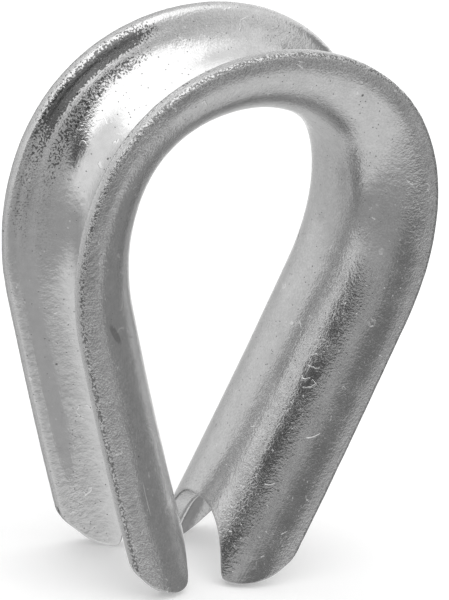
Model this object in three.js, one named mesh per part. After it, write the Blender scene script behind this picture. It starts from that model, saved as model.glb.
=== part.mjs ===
// Wire rope thimble: one strip of galvanised sheet steel, pressed into a channel and
// bent into a pear-shaped eye. The two legs end in rounded flange lobes with an
// arched notch between them, and a small gap stays open between the leg tips.
//
// Millimetres. The eye lies in the XZ plane, with the crown at +Z and the leg tips
// at -Z. Y runs across the flanges. The rope groove faces away from the eye, and the
// origin is the middle of the thimble's bounding box.

import * as THREE from 'three';

// ---- Driving dimensions ------------------------------------------------------------

const overallWidth = 68.3;      // across the flange rims, along X
const crownRise = 2.85;         // rim height at the crown beyond half the width
const shoulderPull = -1.25;     // third harmonic of the rim: fuller crown corners
const acrossFlanges = 26.4;     // outside of flange to outside of flange, along Y
const sheet = 3.2;              // thickness of the steel
const channelDepth = 12.95;     // rim to the eye side of the base, at the crown
const legDeepening = 0.115;     // share by which the channel is deeper along the legs
const drawnAngle = THREE.MathUtils.degToRad(20); // crown angle where it starts to deepen
const baseRise = 10.9;          // height of the rounded base, up to the flat flanges
const outerRimRadius = 0.8;     // broken corner on the outside of each rim
const innerRimWidth = 1.3;      // how far the groove side rolls off towards each rim
const innerRimDepth = 3;        // and how far below the rim it begins to

const legAngle = THREE.MathUtils.degToRad(19.7); // lean of the leg where the crown ends
const legBow = 850;             // radius of the slight outward bow of each leg
const legLength = 52.8;         // along the leg, from the end of the crown to the lobe tip
const notchDepth = 10.5;        // from the lobe tips back to the arch of the base
const notchSharpness = 2.7;     // 2 is a parabola, more is a squarer arch
const lobeSlope = 7.5;          // how far the lobe falls back from its tip to the rim
const lobeTipPlace = 0.534;     // where the tip lies, from base centre (0) to rim (1)
const lobeTipBlend = 1.4;       // softness of the corner between notch and lobe
const rimCornerRadius = 3;      // corner where a lobe meets the rim

// ---- Mesh resolution ---------------------------------------------------------------

const baseSteps = 10;           // facets from the base centre to a flange
const rimSteps = 3;             // facets on each rim corner
const crownSteps = 18;          // stations from the crown to the start of a leg
const legSteps = 8;             // stations along a leg
const flangeFractions = [0.5, 1]; // the flat of a flange, up to the rim's corner

// ---- Cross-section -----------------------------------------------------------------

// How much thinner the sheet is on the groove side near the rim: a quarter of an oval.
function rolledEdge(height) {
  const part = Math.max(0, (height - channelDepth + innerRimDepth) / innerRimDepth);
  return innerRimWidth * (1 - Math.sqrt(1 - part ** 2));
}

// One half of the strip, from the middle of the base to the rim. Each rib joins a
// point on the outside of the channel to the point under it in the groove, and
// carries how far along the strip's width it lies.
function halfSection() {
  const halfWidth = acrossFlanges / 2;
  const ribs = [];
  const addRib = (across, height, normalAcross, normalHeight) => {
    const last = ribs[ribs.length - 1];
    const step = last ? Math.hypot(across - last.outer[0], height - last.outer[1]) : 0;
    const innerHeight = height - sheet * normalHeight;
    ribs.push({
      outer: [across, height],
      inner: [across - sheet * normalAcross + rolledEdge(innerHeight), innerHeight],
      girth: last ? last.girth + step : 0,
    });
  };

  for (let i = 0; i <= baseSteps; i++) {
    const turn = (Math.PI / 2) * (i / baseSteps);
    const slope = Math.hypot(Math.sin(turn) / halfWidth, Math.cos(turn) / baseRise);
    addRib(
      halfWidth * Math.sin(turn),
      baseRise * (1 - Math.cos(turn)),
      Math.sin(turn) / halfWidth / slope,
      -Math.cos(turn) / baseRise / slope,
    );
  }
  const flangeTop = channelDepth - outerRimRadius;
  for (const fraction of flangeFractions) {
    addRib(halfWidth, baseRise + (flangeTop - baseRise) * fraction, 1, 0);
  }
  return ribs;
}

// The cut edge of one flange, from its outside corner over to the groove side.
function rimPoints() {
  const halfWidth = acrossFlanges / 2;
  const points = [];
  for (let i = 1; i <= rimSteps; i++) {
    const turn = (Math.PI / 2) * (i / rimSteps);
    points.push([
      halfWidth - outerRimRadius * (1 - Math.cos(turn)),
      channelDepth - outerRimRadius * (1 - Math.sin(turn)),
    ]);
  }
  const lowestTurn = Math.asin((innerRimDepth - outerRimRadius) / innerRimDepth);
  for (let i = 0; i < rimSteps; i++) {
    const turn = THREE.MathUtils.lerp(Math.PI / 2, lowestTurn, i / rimSteps);
    points.push([
      halfWidth - sheet + innerRimWidth * (1 - Math.cos(turn)),
      channelDepth - innerRimDepth * (1 - Math.sin(turn)),
    ]);
  }
  return points;
}

// ---- Path of the strip -------------------------------------------------------------

// The rim's outline by its support function: the distance from the crown's centre to
// the tangent whose outward normal stands at an angle from +Z. Moving the tangent in
// by the same amount everywhere gives the parallel curves of the rest of the section.
const widening = (crownRise - shoulderPull) / 2;
const rimRadius = overallWidth / 2 + widening;
const legStart = Math.PI / 2 + legAngle;

// Bending stretches the flanges and draws them in, so the channel is shallowest over
// the crown and deepens towards the legs.
function depthFactor(angle) {
  return 1 + legDeepening * THREE.MathUtils.smoothstep(angle, drawnAngle, legStart);
}

function crownPoint(angle, inset) {
  const reach = rimRadius - inset * depthFactor(angle)
    + widening * Math.cos(2 * angle) + shoulderPull * Math.cos(3 * angle);
  const slide = -2 * widening * Math.sin(2 * angle) - 3 * shoulderPull * Math.sin(3 * angle);
  return [
    reach * Math.sin(angle) + slide * Math.cos(angle),
    reach * Math.cos(angle) - slide * Math.sin(angle),
  ];
}

// A leg carries on from the crown as a long arc that bows outwards.
function legPoint(along, inset) {
  const [x, z] = crownPoint(legStart, inset);
  const turn = along / legBow;
  const radius = legBow - inset * depthFactor(legStart);
  const forward = radius * Math.sin(turn);
  const sideways = radius * (Math.cos(turn) - 1);
  return [
    x + forward * Math.cos(legStart) + sideways * Math.sin(legStart),
    z - forward * Math.sin(legStart) + sideways * Math.cos(legStart),
  ];
}

// How far along the leg the strip is cut, for a line at some girth from the base's
// centre: an arch over the base, a rounded lobe on the flange, a small rim corner.
function cutLength(girth, fullGirth) {
  const tip = lobeTipPlace * fullGirth;
  const past = girth - tip;
  const arch = past < 0
    ? notchDepth * (1 - (girth / tip) ** notchSharpness)
    : -past * notchDepth * notchSharpness / tip;
  const lobe = past > 0 ? lobeSlope * (past / (fullGirth - tip)) ** 2 : 0;
  const blended = (arch + lobe + Math.hypot(arch - lobe, lobeTipBlend)) / 2;
  const nearRim = Math.max(0, girth - fullGirth + rimCornerRadius);
  const corner = rimCornerRadius - Math.sqrt(Math.max(0, rimCornerRadius ** 2 - nearRim ** 2));
  return legLength - blended - corner;
}

// ---- Solid -------------------------------------------------------------------------

// The closed loop of the section: outside from back rim to front rim, over the front
// rim, groove side back again, and over the back rim. Front is -Y.
function sectionLoop() {
  const half = halfSection();
  const rim = rimPoints();
  const flangeGirth = half[half.length - 1].girth;
  const fullGirth = flangeGirth + outerRimRadius;
  const ribs = [
    ...half.slice(1).reverse().map((rib) => ({ ...rib, side: 1 })),
    ...half.map((rib) => ({ ...rib, side: -1 })),
  ];
  const vertex = (point, side, girth) => ({
    across: side * point[0], inset: channelDepth - point[1], girth,
  });
  const rimVertex = (point, side) => vertex(point, side, fullGirth - (channelDepth - point[1]));
  return {
    ribCount: ribs.length,
    rimCount: rim.length,
    fullGirth,
    loop: [
      ...ribs.map((rib) => vertex(rib.outer, rib.side, rib.girth)),
      ...rim.map((point) => rimVertex(point, -1)),
      ...ribs.map((rib) => vertex(rib.inner, rib.side, rib.girth)).reverse(),
      ...rim.map((point) => rimVertex(point, 1)).reverse(),
    ],
  };
}

// Stations from the left leg's end over the crown to the right leg's end, for one
// line of the section. Every line reaches its own cut length at both ends.
function stationsAlong(vertex, fullGirth) {
  const right = [];
  for (let i = 0; i <= crownSteps; i++) {
    const angle = legStart * (i / crownSteps);
    right.push(crownPoint(angle, vertex.inset));
  }
  const cut = cutLength(vertex.girth, fullGirth);
  for (let i = 1; i <= legSteps; i++) {
    right.push(legPoint(cut * (i / legSteps), vertex.inset));
  }
  const left = right.slice(1).reverse().map(([x, z]) => [-x, z]);
  return [...left, ...right].map(([x, z]) => [x, vertex.across, z]);
}

function thimbleGeometry() {
  const { loop, ribCount, rimCount, fullGirth } = sectionLoop();
  const lines = loop.map((vertex) => stationsAlong(vertex, fullGirth));
  const stations = lines[0].length;
  const size = loop.length;
  const index = [];
  const at = (line, station) => (line % size) * stations + station;
  const quad = (a, b, c, d) => index.push(a, b, c, a, c, d);

  for (let line = 0; line < size; line++) {
    for (let s = 0; s + 1 < stations; s++) {
      quad(at(line, s), at(line, s + 1), at(line + 1, s + 1), at(line + 1, s));
    }
  }

  // The cut ends: the sheet's thickness between each pair of ribs, and the rims.
  const cap = (station, flip) => {
    const face = (...corners) => {
      const ids = corners.map((line) => at(line, station));
      if (flip) ids.reverse();
      for (let i = 1; i + 1 < ids.length; i++) index.push(ids[0], ids[i], ids[i + 1]);
    };
    const inner = (rib) => 2 * ribCount + rimCount - 1 - rib;
    for (let rib = 0; rib + 1 < ribCount; rib++) {
      face(rib, rib + 1, inner(rib + 1), inner(rib));
    }
    const frontRim = Array.from({ length: rimCount }, (_, i) => ribCount + i);
    face(inner(ribCount - 1), ribCount - 1, ...frontRim);
    const backRim = Array.from({ length: rimCount }, (_, i) => 2 * ribCount + rimCount + i);
    face(0, inner(0), ...backRim);
  };
  cap(0, false);
  cap(stations - 1, true);

  const geometry = new THREE.BufferGeometry();
  geometry.setAttribute('position', new THREE.Float32BufferAttribute(lines.flat(2), 3));
  geometry.setIndex(index);
  geometry.computeBoundingBox();
  const middle = geometry.boundingBox.getCenter(new THREE.Vector3());
  geometry.translate(-middle.x, -middle.y, -middle.z);
  geometry.computeVertexNormals();
  return geometry;
}

// ---- Scene graph -------------------------------------------------------------------

const galvanisedSteel = new THREE.MeshStandardMaterial({
  color: 0xb9bbbd,
  roughness: 0.42,
  metalness: 0.95,
});

const thimble = new THREE.Mesh(thimbleGeometry(), galvanisedSteel);
thimble.name = 'thimble';

const part = new THREE.Group();
part.add(thimble);

export default part;
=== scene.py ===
"""A wire rope thimble of zinc-plated pressed steel, standing on its leg tips in a white studio.

One strip of sheet steel is pressed into a channel and bent into a pear-shaped eye. The eye
lies in the XZ plane with the crown at +Z, and Y runs across the flanges. Dimensions are in
millimetres, as in the CAD part, and become metres where a mesh or a light is made.
"""

import math

import bpy
import numpy as np
from mathutils import Matrix, Vector, noise


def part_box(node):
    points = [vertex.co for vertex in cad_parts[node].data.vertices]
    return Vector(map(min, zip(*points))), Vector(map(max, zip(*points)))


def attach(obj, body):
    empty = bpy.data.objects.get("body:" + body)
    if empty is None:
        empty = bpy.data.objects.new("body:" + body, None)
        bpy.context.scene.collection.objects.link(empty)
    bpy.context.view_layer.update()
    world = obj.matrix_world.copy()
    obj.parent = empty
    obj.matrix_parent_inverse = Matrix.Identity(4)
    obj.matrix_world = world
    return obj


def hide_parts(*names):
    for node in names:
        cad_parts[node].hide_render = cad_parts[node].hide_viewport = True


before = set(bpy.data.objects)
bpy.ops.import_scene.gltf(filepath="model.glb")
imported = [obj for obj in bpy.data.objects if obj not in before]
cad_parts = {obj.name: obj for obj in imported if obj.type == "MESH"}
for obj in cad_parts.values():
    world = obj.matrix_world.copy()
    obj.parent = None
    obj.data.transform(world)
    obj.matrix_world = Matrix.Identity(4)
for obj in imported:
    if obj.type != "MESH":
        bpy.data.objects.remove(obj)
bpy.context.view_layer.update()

MM = 0.001

# ---- The CAD part's dimensions ------------------------------------------------------

OVERALL_WIDTH = 68.3
CROWN_RISE = 2.85
SHOULDER_PULL = -1.25
ACROSS_FLANGES = 26.4
SHEET = 3.2
CHANNEL_DEPTH = 12.95
LEG_DEEPENING = 0.115
DRAWN_ANGLE = math.radians(20)
BASE_RISE = 10.9
OUTER_RIM_RADIUS = 0.8
INNER_RIM_WIDTH = 1.3
INNER_RIM_DEPTH = 3.0
LEG_ANGLE = math.radians(19.7)
LEG_BOW = 850
LEG_LENGTH = 52.8
NOTCH_DEPTH = 10.5
NOTCH_SHARPNESS = 2.7
LOBE_SLOPE = 7.5
LOBE_TIP_PLACE = 0.534
LOBE_TIP_BLEND = 1.4
RIM_CORNER_RADIUS = 3

WIDENING = (CROWN_RISE - SHOULDER_PULL) / 2
RIM_RADIUS = OVERALL_WIDTH / 2 + WIDENING
LEG_START = math.pi / 2 + LEG_ANGLE

# ---- Mesh resolution and the edges of the cut ends ----------------------------------

BASE_STEPS = 38
FLANGE_STEPS = 4
CORNER_STEPS = 5
RIM_STEPS = 2
CROWN_STEPS = 126
LEG_STEPS = 116
END_STEPS = 5
ACROSS_END_STEPS = 5
END_EDGE_RADIUS = 0.34
ROLL_END = 0.02  # stands in for 0 where the rolled edge meets the rim, for a finite slope
LEFT_FLARE = (0.0, 0.3)  # front and back flange of the left leg
RIGHT_FLARE = (0.4, 0.3)
FLARE_GIRTH = 8  # where a flare begins, and over how much girth it grows
WEAR_INSET = OUTER_RIM_RADIUS * 0.4  # how far in from the rim's sharp corner the wear lies
WEAR_REACH = (0.2, 0.75)  # full up to the first distance, and gone at the second


# ---- Geometry of the strip ----------------------------------------------------------


def smoothstep(value, low, high):
    t = np.clip((value - low) / (high - low), 0, 1)
    return t * t * (3 - 2 * t)


def rolled_edge(height):
    """How much thinner the sheet is on the groove side, near the rim, and its slope."""
    part = (height - CHANNEL_DEPTH + INNER_RIM_DEPTH) / INNER_RIM_DEPTH
    if part <= 0:
        return 0, 0
    rest = math.sqrt(max(0, 1 - part * part))
    slope = INNER_RIM_WIDTH * part / (INNER_RIM_DEPTH * max(rest, ROLL_END))
    return INNER_RIM_WIDTH * (1 - rest), slope


def half_section():
    """The strip's section from the middle of the base to the middle of a rim.

    Each row is a rib: outside point and groove point, both as (across, height), the unit
    normals there, the girth at the rib, and how much it belongs to the sheared rim. The
    girth goes on over the rim's outside corner, so a lobe's outline runs on over it."""
    half_width = ACROSS_FLANGES / 2
    ribs = []
    girth = 0

    def add(outer, inner, outer_normal, inner_normal, rim=0):
        nonlocal girth
        if ribs:
            last = ribs[-1][0]
            across = 0 if rim else outer[0] - last[0]
            girth += math.hypot(across, outer[1] - last[1])
        thinner, slope = rolled_edge(inner[1])
        if not rim or inner_normal[0] < 0:
            inner = (inner[0] + thinner, inner[1])
            tilted = (inner_normal[0], inner_normal[1] - slope * inner_normal[0])
            length = math.hypot(*tilted)
            inner_normal = (tilted[0] / length, tilted[1] / length)
        ribs.append((outer, inner, outer_normal, inner_normal, girth, rim))

    for i in range(BASE_STEPS + 1):
        turn = math.pi / 2 * i / BASE_STEPS
        sin, cos = math.sin(turn), math.cos(turn)
        length = math.hypot(sin / half_width, cos / BASE_RISE)
        normal = (sin / half_width / length, -cos / BASE_RISE / length)
        outer = (half_width * sin, BASE_RISE * (1 - cos))
        inner = (outer[0] - SHEET * normal[0], outer[1] - SHEET * normal[1])
        add(outer, inner, normal, (-normal[0], -normal[1]))
    outer_top = CHANNEL_DEPTH - OUTER_RIM_RADIUS
    for i in range(1, FLANGE_STEPS + 1):
        height = BASE_RISE + (outer_top - BASE_RISE) * i / FLANGE_STEPS
        add((half_width, height), (half_width - SHEET, height), (1, 0), (-1, 0))
    for i in range(1, CORNER_STEPS + 1):
        turn = math.pi / 2 * i / CORNER_STEPS
        sin, cos = math.sin(turn), math.cos(turn)
        outer = (half_width - OUTER_RIM_RADIUS * (1 - cos), outer_top + OUTER_RIM_RADIUS * sin)
        inner = (half_width - SHEET, outer_top + OUTER_RIM_RADIUS * sin)
        add(outer, inner, (cos, sin), (-1, 0), i / CORNER_STEPS)
    outer_end = half_width - OUTER_RIM_RADIUS
    inner_end = half_width - SHEET + INNER_RIM_WIDTH
    middle = (outer_end + inner_end) / 2
    for i in range(1, RIM_STEPS + 1):
        part = i / RIM_STEPS
        outer = (outer_end + (middle - outer_end) * part, CHANNEL_DEPTH)
        inner = (inner_end + (middle - inner_end) * part, CHANNEL_DEPTH)
        add(outer, inner, (0, 1), (0, 1), 1)
    return ribs


def section_loop():
    """The closed loop of the section, back rim to front rim outside, then back in the groove.

    Returns arrays per line of the loop: across, height, normal across, normal height, girth
    (negative towards the front), rim, and groove (1 on the groove side). The first line lies
    in the middle of the back rim, and line `ribs - 1` in the middle of the front rim."""
    half = half_section()
    both = [(rib, 1) for rib in reversed(half[1:])] + [(rib, -1) for rib in half]
    rows = []
    for (outer, _, normal, _, girth, rim), side in both:
        rows.append((side * outer[0], outer[1], side * normal[0], normal[1], side * girth, rim, 0))
    for (_, inner, _, normal, girth, rim), side in reversed(both[1:-1]):
        rows.append((side * inner[0], inner[1], side * normal[0], normal[1], side * girth, rim, 1))
    return np.array(rows).T, len(both)


def depth_factor(angle):
    return 1 + LEG_DEEPENING * smoothstep(angle, DRAWN_ANGLE, LEG_START)


def crown_point(angle, inset):
    """Place in the eye's plane, and the outward direction, at an angle from the crown."""
    reach = RIM_RADIUS - inset * depth_factor(angle)
    reach = reach + WIDENING * np.cos(2 * angle) + SHOULDER_PULL * np.cos(3 * angle)
    slide = -2 * WIDENING * np.sin(2 * angle) - 3 * SHOULDER_PULL * np.sin(3 * angle)
    x = reach * np.sin(angle) + slide * np.cos(angle)
    z = reach * np.cos(angle) - slide * np.sin(angle)
    return x, z


def leg_point(along, inset):
    """Place in the eye's plane at a distance along the right leg, from the crown's end."""
    x, z = crown_point(LEG_START, inset)
    turn = along / LEG_BOW
    radius = LEG_BOW - inset * depth_factor(LEG_START)
    forward = radius * np.sin(turn)
    sideways = radius * (np.cos(turn) - 1)
    return (
        x + forward * math.cos(LEG_START) + sideways * math.sin(LEG_START),
        z - forward * math.sin(LEG_START) + sideways * math.cos(LEG_START),
    )


def cut_length(girth, full_girth):
    """Where the strip is cut: an arch over the base, a lobe on the flange, a rim corner."""
    tip = LOBE_TIP_PLACE * full_girth
    past = girth - tip
    inside = NOTCH_DEPTH * (1 - (np.minimum(girth, tip) / tip) ** NOTCH_SHARPNESS)
    arch = np.where(past < 0, inside, -past * NOTCH_DEPTH * NOTCH_SHARPNESS / tip)
    lobe = np.where(past > 0, LOBE_SLOPE * (past / (full_girth - tip)) ** 2, 0)
    blended = (arch + lobe + np.hypot(arch - lobe, LOBE_TIP_BLEND)) / 2
    near_rim = np.maximum(0, girth - full_girth + RIM_CORNER_RADIUS)
    corner = RIM_CORNER_RADIUS - np.sqrt(np.maximum(0, RIM_CORNER_RADIUS**2 - near_rim**2))
    return LEG_LENGTH - blended - corner


def flare(along, girth, mirror):
    """How far the flanges stand out of true towards the leg tips, in mm. They aren't equal."""
    front, back = LEFT_FLARE if mirror else RIGHT_FLARE
    reach = smoothstep(along, 0, LEG_LENGTH)
    raised = smoothstep(np.abs(girth), FLARE_GIRTH, 2 * FLARE_GIRTH)
    return np.where(girth < 0, front, back)[:, None] * reach * raised[:, None]


def ripple(points, size, seed):
    """Smooth noise in about -1 to 1 at each point, with lumps about `size` across.

    Each seed reads another part of the noise."""
    shift = Vector((seed * 17.3, seed * 5.1, seed * 29.7))
    return np.array([noise.noise(Vector(p) / size + shift) for p in points])


def sheet_displacement(points, rim):
    """How far the surface stands out, in mm: rolling waviness, and shear marks on the rims.

    Each term is a height times a ripple of some lump size, both in mm."""
    gentle = 0.050 * ripple(points, 17, 1) + 0.022 * ripple(points, 7, 2)
    fine = 0.007 * ripple(points, 2.6, 3)
    sheared = 0.045 * ripple(points, 3.2, 4) + 0.030 * ripple(points, 1.1, 5)
    return gentle + fine + rim * sheared


def half_stations(lines, full_girth, mirror):
    """One half of the strip, as arrays (lines, stations) of x, y and z, unevenness included."""
    across, height, normal_across, normal_height, girth, rim, _ = lines
    angle = LEG_START * np.arange(CROWN_STEPS + 1) / CROWN_STEPS
    seed = 11 if mirror else 12
    marks = np.column_stack([girth, across * 0.2, np.full(len(girth), seed * 3.0)])
    # The cut wanders by up to 0.15 mm, about a line 0.10 mm inside the ideal one.
    cut = cut_length(np.abs(girth), full_girth)
    cut = cut + 0.10 * ripple(marks, 4.0, seed) + 0.05 * ripple(marks, 1.2, seed + 2) - 0.10
    last = cut - END_EDGE_RADIUS
    steps = np.arange(1, LEG_STEPS + 1) / LEG_STEPS
    turn = math.pi / 2 * np.arange(1, END_STEPS + 1) / END_STEPS
    along = np.hstack([
        last[:, None] * steps,
        cut[:, None] - END_EDGE_RADIUS * (1 - np.sin(turn)),
    ])
    stands_out = flare(np.hstack([np.zeros((len(across), CROWN_STEPS + 1)), along]), girth, mirror)
    drawn_in = np.zeros((len(across), CROWN_STEPS + 1 + along.shape[1]))
    drawn_in[:, -END_STEPS:] = END_EDGE_RADIUS * (1 - np.cos(turn))

    def place(out):
        y = across[:, None] + out * normal_across[:, None]
        inset = CHANNEL_DEPTH - (height[:, None] + out * normal_height[:, None] + stands_out)
        crown_x, crown_z = crown_point(angle[None, :], inset[:, : CROWN_STEPS + 1])
        leg_x, leg_z = leg_point(along, inset[:, CROWN_STEPS + 1 :])
        x = np.hstack([crown_x, leg_x])
        return (-x if mirror else x), y, np.hstack([crown_z, leg_z])

    x, y, z = place(-drawn_in)
    points = np.column_stack([x.ravel(), y.ravel(), z.ravel()])
    spread_rim = np.repeat(rim[:, None], x.shape[1], axis=1)
    out = sheet_displacement(points, spread_rim.ravel()).reshape(x.shape)
    return place(out - drawn_in)


def strip_grid():
    """All the strip's points as (lines, stations, 3), the section's lines, and the rib count."""
    lines, ribs = section_loop()
    girth = lines[4]
    full_girth = girth.max()
    right = np.stack(half_stations(lines, full_girth, mirror=False), axis=-1)
    left = np.stack(half_stations(lines, full_girth, mirror=True), axis=-1)
    grid = np.concatenate([left[:, :0:-1], right], axis=1)
    return grid, lines, ribs


def fit_to_box(points, box):
    """Centres the points on the CAD box, and brings them to its size."""
    low = np.array(box[0]) / MM
    high = np.array(box[1]) / MM
    found_low = points.min(axis=0)
    found_high = points.max(axis=0)
    scale = (high - low) / (found_high - found_low)
    return (points - found_low) * scale + low


def edge_wear(lines):
    """1 along the rims' outside corners, where the edge is roughest, fading to 0."""
    across, height = lines[:2]
    corner_height = CHANNEL_DEPTH - WEAR_INSET
    corner_across = ACROSS_FLANGES / 2 - WEAR_INSET
    away = np.hypot(np.abs(across) - corner_across, height - corner_height)
    return 1 - smoothstep(away, *WEAR_REACH)


def strip_attributes(grid, lines):
    """Per point of the grid: its place on the strip, how sheared it is, and how worn."""
    _, _, _, _, girth, rim, groove = lines
    count, stations = grid.shape[:2]
    step = np.linalg.norm(np.diff(grid, axis=1), axis=2)
    along = np.hstack([np.zeros((count, 1)), np.cumsum(step, axis=1)])
    along = along - along[:, stations // 2][:, None]

    def spread(values):
        return np.repeat(values[:, None], stations, axis=1)

    strip = np.stack([along, spread(girth), spread(groove)], axis=-1).reshape(-1, 3)
    sheared = spread(rim).copy()
    for i in range(END_STEPS):
        share = (END_STEPS - i) / END_STEPS
        sheared[:, i] = np.maximum(sheared[:, i], share)
        sheared[:, -1 - i] = np.maximum(sheared[:, -1 - i], share)
    return strip, sheared.ravel(), spread(edge_wear(lines)).ravel()


def side_faces(count, stations):
    """The quads between neighbouring lines and stations, all round the section."""
    line = np.arange(count)[:, None]
    station = np.arange(stations - 1)[None, :]
    after = (line + 1) % count
    here, beyond = line * stations + station, after * stations + station
    return np.stack([here, here + 1, beyond + 1, beyond], axis=-1).reshape(-1, 4).tolist()


def build_thimble(box):
    """The strip as one closed mesh, with attributes that its material reads."""
    grid, lines, ribs = strip_grid()
    count, stations = grid.shape[:2]
    strip, sheared, worn = strip_attributes(grid, lines)
    faces = side_faces(count, stations)
    points, strip, sheared, worn = [list(a) for a in (grid.reshape(-1, 3), strip, sheared, worn)]
    for end, flip in ((0, False), (stations - 1, True)):
        add_cut_face(points, strip, sheared, faces, end, flip, count, stations, ribs)
    worn += [0.0] * (len(points) - len(worn))

    places = fit_to_box(np.array(points), box) * MM
    mesh = bpy.data.meshes.new("thimble_body")
    mesh.from_pydata(places.tolist(), [], faces)
    mesh.validate()
    mesh.polygons.foreach_set("use_smooth", [True] * len(mesh.polygons))
    add_attribute(mesh, "strip", "FLOAT_VECTOR", "vector", np.array(strip))
    add_attribute(mesh, "sheared", "FLOAT", "value", np.array(sheared))
    add_attribute(mesh, "worn", "FLOAT", "value", np.array(worn))
    body = bpy.data.objects.new("thimble_body", mesh)
    bpy.context.scene.collection.objects.link(body)
    return body


def add_cut_face(points, strip, sheared, faces, end, flip, count, stations, ribs):
    """Closes one end: rows of points between the outside and the groove side of each rib."""

    def row(rib):
        outer = rib * stations + end
        if rib in (0, ribs - 1):
            return [outer] * (ACROSS_END_STEPS + 1)
        inner = (count - rib) * stations + end
        ids = [outer]
        for i in range(1, ACROSS_END_STEPS):
            part = i / ACROSS_END_STEPS
            ids.append(len(points))
            points.append(points[outer] * (1 - part) + points[inner] * part)
            strip.append(strip[outer] * (1 - part) + strip[inner] * part)
            sheared.append(1.0)
        return ids + [inner]

    last = row(0)
    for rib in range(1, ribs):
        this = row(rib)
        for i in range(ACROSS_END_STEPS):
            corners = [last[i], last[i + 1], this[i + 1], this[i]]
            corners = list(dict.fromkeys(reversed(corners) if flip else corners))
            if len(corners) > 2:
                faces.append(corners)
        last = this


def add_attribute(mesh, name, kind, field, values):
    made = mesh.attributes.new(name, kind, "POINT")
    made.data.foreach_set(field, np.asarray(values, np.float32).ravel())


# ---- Shader helpers -----------------------------------------------------------------


def node(tree, kind, inputs=None, **settings):
    """Adds a shader node. `inputs` maps a socket's name or number to a value or a socket."""
    made = tree.nodes.new(kind)
    for name, value in settings.items():
        setattr(made, name, value)
    for key, value in (inputs or {}).items():
        if isinstance(value, bpy.types.NodeSocket):
            tree.links.new(value, made.inputs[key])
        else:
            made.inputs[key].default_value = value
    return made


def math_node(tree, operation, a, b=0.0):
    return node(tree, "ShaderNodeMath", {0: a, 1: b}, operation=operation).outputs[0]


def scaled(tree, vector, factors):
    inputs = {0: vector, 1: factors}
    return node(tree, "ShaderNodeVectorMath", inputs, operation="MULTIPLY").outputs[0]


def noise_value(tree, vector, scale, detail=2.0, roughness=0.5):
    inputs = {"Vector": vector, "Scale": scale, "Detail": detail, "Roughness": roughness}
    return node(tree, "ShaderNodeTexNoise", inputs).outputs[0]


def ranged(tree, value, from_low, from_high, to_low=0.0, to_high=1.0, smooth=False):
    inputs = {
        "Value": value,
        "From Min": from_low,
        "From Max": from_high,
        "To Min": to_low,
        "To Max": to_high,
    }
    kind = "SMOOTHSTEP" if smooth else "LINEAR"
    return node(tree, "ShaderNodeMapRange", inputs, interpolation_type=kind).outputs[0]


def added(tree, first, *others):
    total = first
    for other in others:
        total = math_node(tree, "ADD", total, other)
    return total


# ---- Zinc-plated steel --------------------------------------------------------------

OUTSIDE_SHADE = 0.64
# The groove's grey is painted lighter than the outside's: a painted sheen for its brighter
# reflections.
GROOVE_SHADE_PAINTED_LIGHTER = 0.72  # the groove is brighter
BURNISHED_FLOOR = (10.5, 12.5)  # girth at which the groove's smooth floor ends
BURNISHED_LEGS = (46, 60)  # how far from the crown all of the groove becomes smooth
# The bands below are a painted dark reflection in the groove, standing for a dark part of the studio
# mirrored there.
PAINTED_REFLECTION_BANDS = ((19.2, 2.3, 1.15), (14.6, 2.4, 0.62))  # girth, half width, strength
BAND_RISE = (9, 17)  # millimetres left of the crown: where the bands come in,
BAND_FALL = (32, 44)  # where they weaken,
BAND_END = (50, 62)  # and where they end


def chance(tree, cells, low, high):
    """Picks out some of the cells of a Voronoi texture: 0 below `low`, 1 above `high`."""
    split = node(tree, "ShaderNodeSeparateColor", {0: cells.outputs["Color"]})
    return ranged(tree, split.outputs[0], low, high)


def pit_mask(tree, place, scale, radius, share):
    """Scattered round pits: 1 in the middle of a pit. `share` of the cells has one."""
    cells = node(tree, "ShaderNodeTexVoronoi", {"Vector": place, "Scale": scale})
    pit = ranged(tree, cells.outputs["Distance"], radius * 0.4, radius, 1, 0, smooth=True)
    return math_node(tree, "MULTIPLY", pit, chance(tree, cells, 1 - share, 1.05 - share))


def crescent_mask(tree, place):
    """Scuffs: short bits of a thin ring, here and there."""
    bent = noise_value(tree, place, 0.7, 1.0)
    cells = node(tree, "ShaderNodeTexVoronoi", {"Vector": place, "Scale": 0.21})
    ring = math_node(tree, "SUBTRACT", cells.outputs["Distance"], ranged(tree, bent, 0, 1, 0.05, 0.45))
    ring = ranged(tree, math_node(tree, "ABSOLUTE", ring), 0.012, 0.03, 1, 0, smooth=True)
    broken = ranged(tree, noise_value(tree, place, 0.5, 1.0), 0.56, 0.62, 0, 1)
    ring = math_node(tree, "MULTIPLY", ring, broken)
    return math_node(tree, "MULTIPLY", ring, chance(tree, cells, 0.2, 0.25))


# Single marks on the outside: place along the strip from the crown, right positive, and in
# girth, front negative; half size along and across; lean and bend; height in micrometres;
# and how much lighter the mark is.
MARKS = [
    ("nick_in_eye", 41.9, 6.9, 0.75, 0.70, 0.5, 0.0, -60, -0.48),
    ("long_scratch", -91.3, -16.4, 3.9, 0.11, 0.0, 0.0, 25, 0.20),
    ("upper_scuff", 80.1, -14.2, 0.14, 1.05, 0.8, -0.35, 30, 0.34),
    ("middle_scuff", 86.0, -11.5, 0.13, 0.85, 0.8, -0.45, 25, 0.28),
    ("lower_scuff", 101.8, -16.8, 0.13, 0.45, 0.8, -0.80, 25, 0.28),
    ("smudge", -58.3, -15.6, 1.7, 1.1, 0.0, 0.0, -8, -0.20),
]


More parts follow.
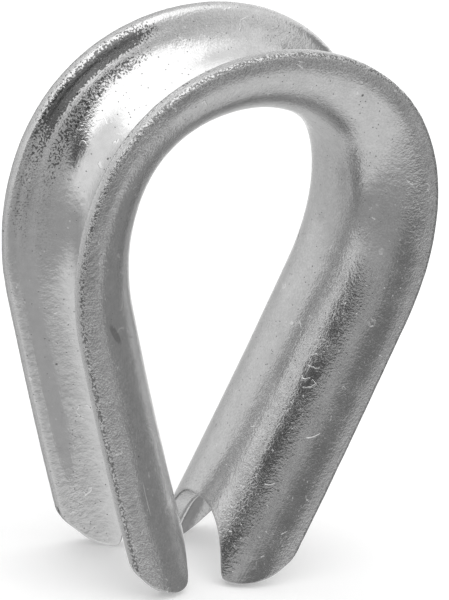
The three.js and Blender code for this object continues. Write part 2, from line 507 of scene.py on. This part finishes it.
def mark_mask(tree, split, along, girth, half_length, half_width, lean, bend):
    """1 in the middle of a mark on the strip, which leans and bends like a parabola."""
    across = math_node(tree, "SUBTRACT", split.outputs[1], girth)
    slope = math_node(tree, "SUBTRACT", math_node(tree, "MULTIPLY", across, bend), lean)
    middle = math_node(tree, "ADD", math_node(tree, "MULTIPLY", across, slope), along)
    lengthwise = math_node(tree, "SUBTRACT", split.outputs[0], middle)
    far_along = math_node(tree, "POWER", math_node(tree, "DIVIDE", lengthwise, half_length), 2.0)
    far_across = math_node(tree, "POWER", math_node(tree, "DIVIDE", across, half_width), 2.0)
    return ranged(tree, math_node(tree, "ADD", far_along, far_across), 0.3, 1.0, 1, 0, smooth=True)


def single_marks(tree, strip, groove):
    """The marks' height in micrometres, and how much they change the shade."""
    split = node(tree, "ShaderNodeSeparateXYZ", {0: strip})
    outside = math_node(tree, "SUBTRACT", 1.0, groove)
    height, shade = 0.0, 0.0
    for _, *place, rise, lighter in MARKS:
        mask = math_node(tree, "MULTIPLY", mark_mask(tree, split, *place), outside)
        height = math_node(tree, "ADD", math_node(tree, "MULTIPLY", mask, float(rise)), height)
        shade = math_node(tree, "ADD", math_node(tree, "MULTIPLY", mask, lighter), shade)
    return height, shade


def burnished_mask(tree, strip, groove):
    """1 where the groove is smoother: its floor, and all of it along the legs."""
    split = node(tree, "ShaderNodeSeparateXYZ", {0: strip})
    along = math_node(tree, "ABSOLUTE", split.outputs[0])
    girth = math_node(tree, "ABSOLUTE", split.outputs[1])
    floor = ranged(tree, girth, *BURNISHED_FLOOR, 1, 0, smooth=True)
    legs = ranged(tree, along, *BURNISHED_LEGS, 0, 1, smooth=True)
    return math_node(tree, "MULTIPLY", math_node(tree, "MAXIMUM", floor, legs), groove)


def painted_reflection_band_mask(tree, place, strip, groove):
    """Dark speckled bands on the left of the groove, near the crown: a painted reflection."""
    split = node(tree, "ShaderNodeSeparateXYZ", {0: strip})
    leftwards = math_node(tree, "MULTIPLY", split.outputs[0], -1.0)
    girth = math_node(tree, "ABSOLUTE", split.outputs[1])
    rising = ranged(tree, leftwards, *BAND_RISE, 0, 1, smooth=True)
    falling = ranged(tree, leftwards, *BAND_FALL, 1, 0.2, smooth=True)
    ending = ranged(tree, leftwards, *BAND_END, 1, 0, smooth=True)
    total = 0.0
    for middle, half_width, strength in PAINTED_REFLECTION_BANDS:
        away = math_node(tree, "ABSOLUTE", math_node(tree, "SUBTRACT", girth, middle))
        band = ranged(tree, away, half_width * 0.4, half_width, strength, 0, smooth=True)
        total = math_node(tree, "MAXIMUM", band, total)
    for factor in (rising, falling, ending, groove):
        total = math_node(tree, "MULTIPLY", total, factor)
    speckle = ranged(tree, noise_value(tree, place, 3.0, 1.0), 0.36, 0.64, 0, 0.9)
    return ranged(tree, math_node(tree, "ADD", total, speckle), 0.95, 1.2)


def plating_masks(tree, place, strip, groove, worn):
    """Pits, scuffs, chips, smooth groove and painted dark reflection: 0 to 1 each, by name."""
    small_pits = pit_mask(tree, place, scale=1.3, radius=0.19, share=0.40)
    big_pits = pit_mask(tree, place, scale=0.33, radius=0.10, share=0.30)
    dings = pit_mask(tree, place, scale=0.8, radius=0.12, share=0.40)
    chips = ranged(tree, noise_value(tree, place, 2.6, 2.0, 0.6), 0.46, 0.56, 0, 1)
    return {
        "pits": math_node(tree, "MAXIMUM", small_pits, big_pits),
        "scuffs": math_node(tree, "MAXIMUM", crescent_mask(tree, place), dings),
        "chips": math_node(tree, "MULTIPLY", chips, worn),
        "burnished": burnished_mask(tree, strip, groove),
        # painted dark reflection bands in the groove
        "painted_reflection_bands": painted_reflection_band_mask(tree, place, strip, groove),
    }


def plating_height(tree, place, strip, fine, patches, sheared, masks, marks_height):
    """The surface's height in micrometres."""
    peel = ranged(tree, noise_value(tree, place, 0.9, 1.0, 0.5), 0, 1, -20, 20)
    grain = math_node(tree, "MULTIPLY", ranged(tree, fine, 0, 1, -26, 26), patches)
    calmer = ranged(tree, masks["burnished"], 0, 1, 1, 0.45)
    grain = math_node(tree, "MULTIPLY", grain, calmer)
    die = noise_value(tree, scaled(tree, strip, (0.10, 3.2, 1)), 1.0, 3.0, 0.6)
    drag = noise_value(tree, scaled(tree, place, (2.4, 2.4, 2.4)), 1.0, 3.0, 0.7)
    return added(
        tree,
        marks_height,
        peel,
        grain,
        ranged(tree, die, 0, 1, -8, 8),
        math_node(tree, "MULTIPLY", masks["pits"], -30.0),
        math_node(tree, "MULTIPLY", masks["scuffs"], 26.0),
        math_node(tree, "MULTIPLY", ranged(tree, drag, 0, 1, -60, 60), sheared),
        math_node(tree, "MULTIPLY", masks["chips"], -60.0),
    )


def plating_roughness(tree, place, sheared, masks):
    mottle = noise_value(tree, place, 0.22, 4.0, 0.6)
    return added(
        tree,
        ranged(tree, mottle, 0.3, 0.7, 0.10, 0.17),
        math_node(tree, "MULTIPLY", sheared, 0.12),
        math_node(tree, "MULTIPLY", masks["pits"], 0.2),
        math_node(tree, "MULTIPLY", masks["chips"], 0.2),
    )


def plating_shade(tree, place, groove, fine, patches, masks, marks_shade):
    """The metal's grey: clouds, specks, marks; darker in pits, chips and painted reflections."""
    cloud = ranged(tree, noise_value(tree, place, 0.5, 5.0, 0.65), 0.3, 0.7, -0.045, 0.045)
    specks = math_node(tree, "MULTIPLY", ranged(tree, fine, 0.35, 0.65, -0.055, 0.035), patches)
    calmer = ranged(tree, masks["burnished"], 0, 1, 1, 0.2)
    specks = math_node(tree, "MULTIPLY", specks, calmer)
    # The groove side is painted lighter than the outside, a painted sheen for its brighter
    # reflections.
    shade = ranged(tree, groove, 0, 1, OUTSIDE_SHADE, GROOVE_SHADE_PAINTED_LIGHTER)
    lighter = math_node(tree, "MULTIPLY", masks["scuffs"], 0.14)
    shade = added(tree, shade, cloud, specks, lighter, marks_shade)
    # The bands' darkening is a painted reflection; pits and chips darken the plating itself.
    for name, darkest in (("pits", 0.35), ("chips", 0.38), ("painted_reflection_bands", 0.25)):
        shade = math_node(tree, "MULTIPLY", shade, ranged(tree, masks[name], 0, 1, 1, darkest))
    return shade


def zinc_plated_steel():
    """Bright zinc plating over pressed steel: satin, with fine grain, pits and die lines.

    Heights are in micrometres, and texture scales are per millimetre."""
    material = bpy.data.materials.new("zinc_plated_steel")
    material.use_nodes = True
    tree = material.node_tree
    tree.nodes.clear()
    coordinates = node(tree, "ShaderNodeTexCoord").outputs["Object"]
    place = scaled(tree, coordinates, (1000, 1000, 1000))
    strip = node(tree, "ShaderNodeAttribute", attribute_name="strip").outputs["Vector"]
    groove = node(tree, "ShaderNodeSeparateXYZ", {0: strip}).outputs["Z"]
    sheared = node(tree, "ShaderNodeAttribute", attribute_name="sheared").outputs["Fac"]
    worn = node(tree, "ShaderNodeAttribute", attribute_name="worn").outputs["Fac"]

    fine = noise_value(tree, place, 2.8, 2.0, 0.6)
    patches = ranged(tree, noise_value(tree, place, 0.12, 2.0, 0.5), 0.35, 0.65, 0.55, 1.35)
    masks = plating_masks(tree, place, strip, groove, worn)
    marks_height, marks_shade = single_marks(tree, strip, groove)
    height = plating_height(tree, place, strip, fine, patches, sheared, masks, marks_height)
    bump = node(tree, "ShaderNodeBump", {"Height": height, "Strength": 1.0, "Distance": 1e-6})
    shade = plating_shade(tree, place, groove, fine, patches, masks, marks_shade)
    colour = node(tree, "ShaderNodeCombineColor", {0: shade, 1: shade, 2: shade}).outputs[0]
    shader = node(tree, "ShaderNodeBsdfPrincipled", {
        "Base Color": colour,
        "Metallic": 1.0,
        "Roughness": plating_roughness(tree, place, sheared, masks),
        "Normal": bump.outputs[0],
    })
    node(tree, "ShaderNodeOutputMaterial", {"Surface": shader.outputs[0]})
    return material


# ---- Studio -------------------------------------------------------------------------

CAMERA_AZIMUTH = math.radians(-34.79)
CAMERA_ELEVATION = math.radians(20.51)
CAMERA_ROLL = math.radians(8.24)
CAMERA_DISTANCE = 871.4
FOCAL_LENGTH = 317.9
SENSOR_WIDTH = 36
AIM_RIGHT = 2.443  # the camera is aimed this far right of the thimble's middle


def place_camera():
    """Adds the camera, and returns its turn: the directions right, up and back as columns."""
    azimuth, elevation = CAMERA_AZIMUTH, CAMERA_ELEVATION
    towards = Vector((
        math.sin(azimuth) * math.cos(elevation),
        -math.cos(azimuth) * math.cos(elevation),
        math.sin(elevation),
    ))
    level = towards.to_track_quat("Z", "Y").to_matrix()
    rolled = level @ Matrix.Rotation(CAMERA_ROLL, 3, "Z")
    aim = rolled.col[0] * AIM_RIGHT * MM
    location = towards * CAMERA_DISTANCE * MM
    back = (location - aim).normalized()
    right = rolled.col[1].cross(back).normalized()
    up = back.cross(right)
    data = bpy.data.cameras.new("camera")
    data.sensor_width = SENSOR_WIDTH
    data.lens = FOCAL_LENGTH
    data.clip_start = 0.05
    data.clip_end = 20
    camera = bpy.data.objects.new("camera", data)
    turn = Matrix((right, up, back)).transposed()
    camera.matrix_world = Matrix.Translation(location) @ turn.to_4x4()
    bpy.context.scene.collection.objects.link(camera)
    bpy.context.scene.camera = camera
    return turn


# Soft areas of light and dark around the thimble. Places and brightness come mostly from a
# search by a scratch program, rounded, and partly from changes by hand. Each row: degrees
# right and up of the camera, width and height in degrees, softness of the edge, brightness.
STUDIO = [
    ("background", 150, 15, 85, 48, 0.20, 1.05),
    ("ceiling_softbox", 0, 52, 110, 106, 0.40, 1.50),
    ("left_softbox", -52, 8, 50, 66, 0.40, 0.90),
    ("left_wall", -108, 20, 44, 34, 0.35, 0.80),
    ("right_wall", 84, 8, 28, 115, 0.40, 0.90),
    ("camera_side", -8, -6, 54, 22, 0.30, 0.09),
    ("low_stripe", 6, -23, 36, 12, 0.35, 0.60),
    ("table_front", -12, -66, 130, 82, 0.35, 0.39),
    ("right_dark", 124, -11, 80, 48, 0.16, 0.30),
    ("right_low_dark", 50, -35, 50, 16, 0.35, 0.20),
    ("table", 0, -90, 100, 52, 0.40, 0.80),
]
WIDEST_AREA = 170  # degrees
ROOM_BRIGHTNESS = 0.62
FLOOR_GLOW = 0.16  # makes the floor come out white
FLOOR_REACH = 3.0  # metres from the middle to each side


def studio_direction(right, up, view_turn):
    """The direction to a place in the studio, in degrees right and up of the camera."""
    right, up = math.radians(right), math.radians(up)
    seen = Vector((math.sin(right) * math.cos(up), math.sin(up), math.cos(right) * math.cos(up)))
    return view_turn @ seen


def build_world(view_turn):
    """The studio as a backdrop of light: each area is a soft rectangle of directions."""
    world = bpy.data.worlds.new("studio")
    bpy.context.scene.world = world
    world.use_nodes = True
    tree = world.node_tree
    tree.nodes.clear()
    looking = node(tree, "ShaderNodeTexCoord").outputs["Generated"]
    total = ROOM_BRIGHTNESS

    def along(direction):
        inputs = {0: looking, 1: direction}
        return node(tree, "ShaderNodeVectorMath", inputs, operation="DOT_PRODUCT").outputs["Value"]

    for _, right, up, width, height, softness, brightness in STUDIO:
        middle = studio_direction(right, up, view_turn)
        upright = studio_direction(right, up + 90, view_turn)
        sideways = middle.cross(upright)
        ahead = math_node(tree, "MAXIMUM", along(middle), 0.001)
        mask = None
        for axis, size in ((sideways, width), (upright, height)):
            reach = math.tan(math.radians(min(size, WIDEST_AREA) / 2))
            ratio = math_node(tree, "DIVIDE", along(axis), ahead)
            ratio = math_node(tree, "ABSOLUTE", ratio)
            inside, outside = reach * (1 - softness), reach * (1 + softness)
            edge = ranged(tree, ratio, inside, outside, 1, 0, smooth=True)
            mask = edge if mask is None else math_node(tree, "MULTIPLY", mask, edge)
        change = math_node(tree, "SUBTRACT", brightness, total)
        inputs = {0: change, 1: mask, 2: total}
        total = node(tree, "ShaderNodeMath", inputs, operation="MULTIPLY_ADD").outputs[0]
    background = node(tree, "ShaderNodeBackground", {"Color": (1, 1, 1, 1), "Strength": total})
    node(tree, "ShaderNodeOutputWorld", {"Surface": background.outputs[0]})


def build_floor(level):
    """A wide white floor. It is left out of the thimble's reflections."""
    mesh = bpy.data.meshes.new("floor")
    signs = ((-1, -1), (1, -1), (1, 1), (-1, 1))
    corners = [(x * FLOOR_REACH, y * FLOOR_REACH, level) for x, y in signs]
    mesh.from_pydata(corners, [], [(0, 1, 2, 3)])
    floor = bpy.data.objects.new("floor", mesh)
    bpy.context.scene.collection.objects.link(floor)
    material = bpy.data.materials.new("pale_floor")
    material.use_nodes = True
    shader = material.node_tree.nodes["Principled BSDF"]
    shader.inputs["Base Color"].default_value = (0.9, 0.9, 0.9, 1)
    shader.inputs["Roughness"].default_value = 0.9
    shader.inputs["Specular IOR Level"].default_value = 0.0
    shader.inputs["Emission Color"].default_value = (1, 1, 1, 1)
    shader.inputs["Emission Strength"].default_value = FLOOR_GLOW
    mesh.materials.append(material)
    floor.visible_glossy = False


# ---- Scene --------------------------------------------------------------------------


def build_scene():
    thimble = build_thimble(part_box("thimble"))
    thimble.data.materials.append(zinc_plated_steel())
    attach(thimble, "root")
    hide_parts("thimble")
    build_world(place_camera())
    build_floor(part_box("thimble")[0].z)
    bpy.context.scene.view_settings.view_transform = "Standard"


build_scene()
